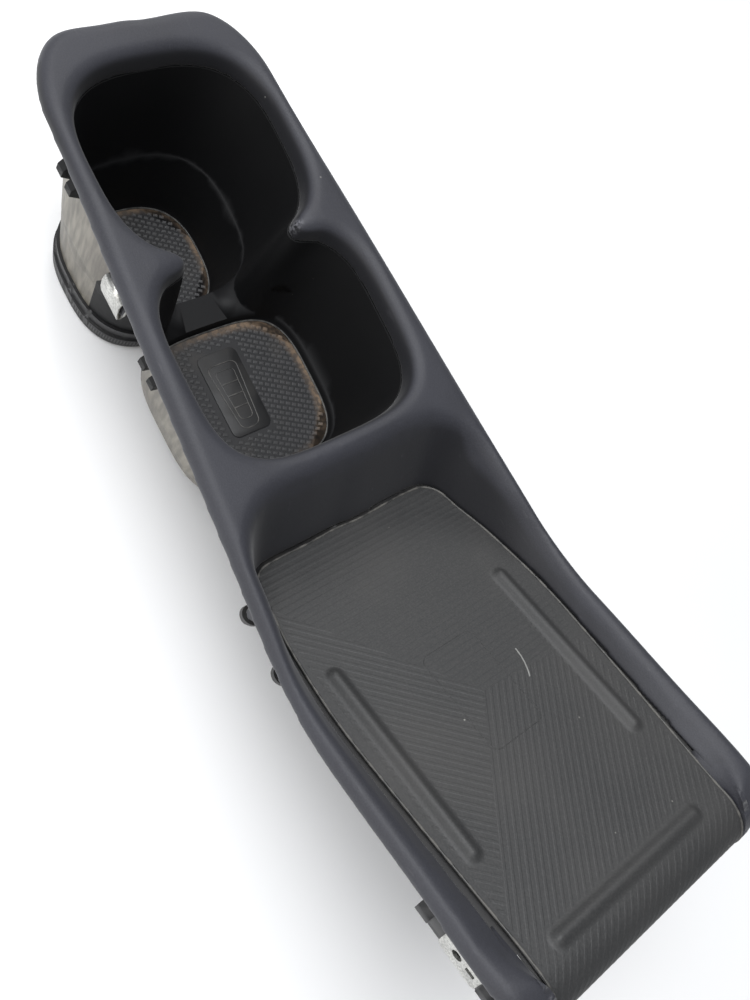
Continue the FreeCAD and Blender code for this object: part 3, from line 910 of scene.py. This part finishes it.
def stage():
    let_go()
    bpy.ops.mesh.primitive_plane_add(size=6, location=(0, 0, cad_box[0][2] - 0.05 * MM))
    floor = coat(named("floor"), white_floor())

    world = bpy.data.worlds.new("soft_room")
    bpy.context.scene.world = world
    world.use_nodes = True
    sky = world.node_tree.nodes["Background"]
    sky.inputs[0].default_value = (0.93, 0.96, 1.0, 1)
    sky.inputs[1].default_value = 0.30
    bpy.context.scene.view_settings.view_transform = "Standard"

    for name, place, size, power, colour in (
            ("ceiling", (-0.40, -0.35, 1.35), 1.1, 24, (0.97, 0.98, 1.0)),
            ("window", (-1.3, 0.7, 0.9), 0.6, 7, (1.0, 0.99, 0.97)),
            ("left_fill", (0.10, -1.3, 0.55), 0.9, 7, (1.0, 0.98, 0.95))):
        data = bpy.data.lights.new(name, "AREA")
        data.size = size
        data.energy = power
        data.color = colour
        light = bpy.data.objects.new(name, data)
        light.location = place
        light.rotation_euler = (Vector(place) * -1).to_track_quat("-Z", "Y").to_euler()
        bpy.context.scene.collection.objects.link(light)


def camera():
    """looking down from the left of the insert, rolled so that it runs down to the right"""
    eye = Vector((0.0144, -0.1924, 0.4047))
    forward = Vector((-0.0036, 0.5255, -0.8508)).normalized()
    right = Vector((0.4549, 0.7585, 0.4666))
    right = (right - forward * right.dot(forward)).normalized()
    up = right.cross(forward)
    data = bpy.data.cameras.new("camera")
    data.lens = 36.0
    data.sensor_width = 36
    data.clip_start = 0.01
    made = bpy.data.objects.new("camera", data)
    made.matrix_world = Matrix.Translation(eye) @ Matrix((right, up, -forward)).transposed().to_4x4()
    bpy.context.scene.collection.objects.link(made)
    bpy.context.scene.camera = made


# ------------------------------------------------------------------ the whole insert

def build():
    trim = black_plastic()
    bright = spring_steel("bright_spring_steel", (0.66, 0.66, 0.63), 0.0)
    dark = spring_steel("dark_zinc_screws", (0.22, 0.22, 0.23), 0.8)
    bead = bead_rubber()
    shell("bezel", soft_touch(), 60, soft=True)
    shell("cup_bin", bin_plastic())
    shell("tray_pan", pan_plastic())
    shell("deep_well_cap", trim)
    for side in ("left_", "right_"):
        shell(side + "end_bracket", trim)
        shell(side + "end_clip", bright)
        shell(side + "spring_clip", bright, 60)
    shell("cap_screws", dark)
    shell("pan_screws", dark)

    for node, power, clear in (("deep_cup_mat", 2.7, nowhere), ("shallow_cup_mat", 3.6, on_pad)):
        low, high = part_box(node)
        middle, half = (low + high) / 2, (high - low) / 2
        # the sheet and its scales are one rubber: the sheet's much darker tone is painted shade
        # between the raised scales
        sheet = cup_rubber(node + "_rubber", middle, half, (0.011, 0.011, 0.012))
        raised = cup_rubber(node + "_scale_rubber", middle, half, (0.034, 0.034, 0.035))
        top = cup_mat(node, node + "_body", power, clear, sheet, raised, bead)
    key_pad(top, pad_rubber(), bead)
    tray_mat(tray_rubber(), bead)


build()
stage()
camera()
